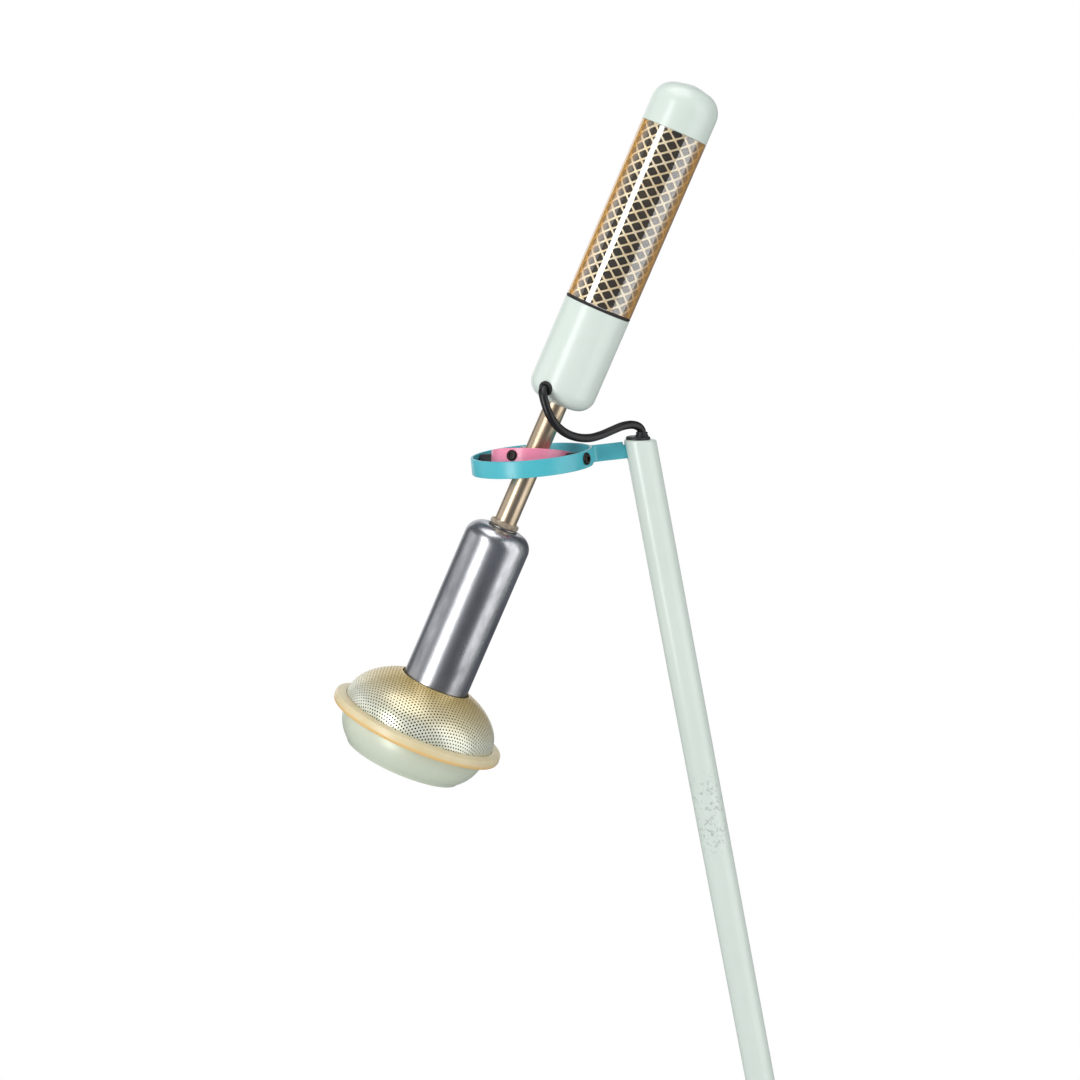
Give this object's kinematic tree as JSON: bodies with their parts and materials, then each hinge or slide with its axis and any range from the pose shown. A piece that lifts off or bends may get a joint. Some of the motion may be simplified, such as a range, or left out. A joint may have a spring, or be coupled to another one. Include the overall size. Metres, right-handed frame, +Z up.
{
  "type": "counterbalanced floor lamp",
  "caption": "Counterbalanced floor lamp: a leaning tapered pole holds a two-axis gimbal ring, and a straight arm with a transformer housing and a perforated lamp head swings in it.",
  "frame": {"origin": "centre of the base's underside, on the floor", "axes": "+Z up; the pole leans towards -X, and the gimbal, arm and lamp head are on the -X side; the bracket's tab runs along X"},
  "size_m": [0.5362, 0.29, 1.4398],
  "materials": {
    "black_rubber": "matt moulded rubber",
    "black_nylon": "moulded nylon",
    "cable_sheath": "smooth extruded sheath, slightly glossy",
    "cast_iron": "bare iron and lamination steel",
    "mint_paint": "satin mint enamel on steel",
    "zinc_steel": "zinc plated",
    "black_steel": "black oxide",
    "machined_aluminium": "machined",
    "polished_aluminium": "turned and polished",
    "bright_reflector": "bright spun",
    "teal_paint": "satin teal enamel",
    "pink_paint": "satin pink enamel",
    "champagne_brass": "satin champagne plating",
    "gilt_mesh": "lacquered expanded mesh",
    "dark_film": "dark brown varnished board",
    "clear_tube": "clear glossy tube",
    "coil_winding": "varnished copper winding",
    "ceramic": "unglazed",
    "lamp_glass": "clear heat-proof glass",
    "dome_enamel": "pearl green-gold enamel on perforated steel",
    "bowl_enamel": "pearl green enamel",
    "rim_silicone": "heat-proof translucent silicone"
  },
  "bodies": {
    "stand": {"floor_pad": "black_rubber", "base_weight": "cast_iron", "base_cover": "mint_paint", "cover_screw_1": "zinc_steel", "cover_screw_2": "zinc_steel", "cover_screw_3": "zinc_steel", "cord_gland": "black_nylon", "pole_socket": "zinc_steel", "socket_bolt_1": "zinc_steel", "socket_bolt_2": "zinc_steel", "socket_bolt_3": "zinc_steel", "pole": "mint_paint", "pole_insert": "machined_aluminium", "bracket_pin": "zinc_steel", "pole_cable": "cable_sheath", "pole_plug": "black_nylon", "ring_bracket": "teal_paint", "outer_bush_front": "black_nylon", "outer_bush_rear": "black_nylon", "outer_screw_front": "black_steel", "outer_screw_rear": "black_steel", "jumper_lower": "cable_sheath"},
    "inner_ring": {"inner_ring": "pink_paint", "inner_bush_front": "black_nylon", "inner_bush_rear": "black_nylon", "inner_screw_front": "black_steel", "inner_screw_rear": "black_steel", "jumper_upper": "cable_sheath"},
    "arm": {"tube_clamp": "zinc_steel", "clamp_screw": "zinc_steel", "arm_tube": "champagne_brass", "arm_lead": "cable_sheath", "housing_cup": "mint_paint", "cable_grommet": "black_rubber", "terminal_block": "ceramic", "seal_ring": "black_rubber", "mesh_sleeve": "gilt_mesh", "liner_tube": "dark_film", "clear_sleeve": "clear_tube", "chassis_plate": "zinc_steel", "chassis_nut": "zinc_steel", "transformer_core": "cast_iron", "transformer_coil": "coil_winding", "tie_rod_1": "zinc_steel", "tie_rod_2": "zinc_steel", "cap_bridge": "zinc_steel", "housing_cap": "mint_paint", "collar_washer": "zinc_steel", "collar_nut": "champagne_brass", "lamp_barrel": "polished_aluminium", "balance_weight": "cast_iron", "lamp_holder": "ceramic", "bulb": "lamp_glass", "reflector": "bright_reflector", "head_spider": "zinc_steel", "dome": "dome_enamel", "rim_ring": "rim_silicone", "bowl": "bowl_enamel", "front_glass": "lamp_glass", "glass_ring": "zinc_steel"}
  },
  "joints": [
    {"name": "ring_tilt", "type": "hinge", "parent": "stand", "child": "inner_ring", "pos_m": [-0.2134, 0, 1.112], "axis": [0.7848, -0.6157, 0.0714], "range_deg": [-9, 45], "deforming": ["jumper_lower"]},
    {"name": "arm_tilt", "type": "hinge", "parent": "inner_ring", "child": "arm", "pos_m": [-0.2134, 0, 1.112], "axis": [0.6157, 0.7612, -0.2039], "range_deg": [-19, 16], "deforming": ["jumper_upper"]}
  ]
}
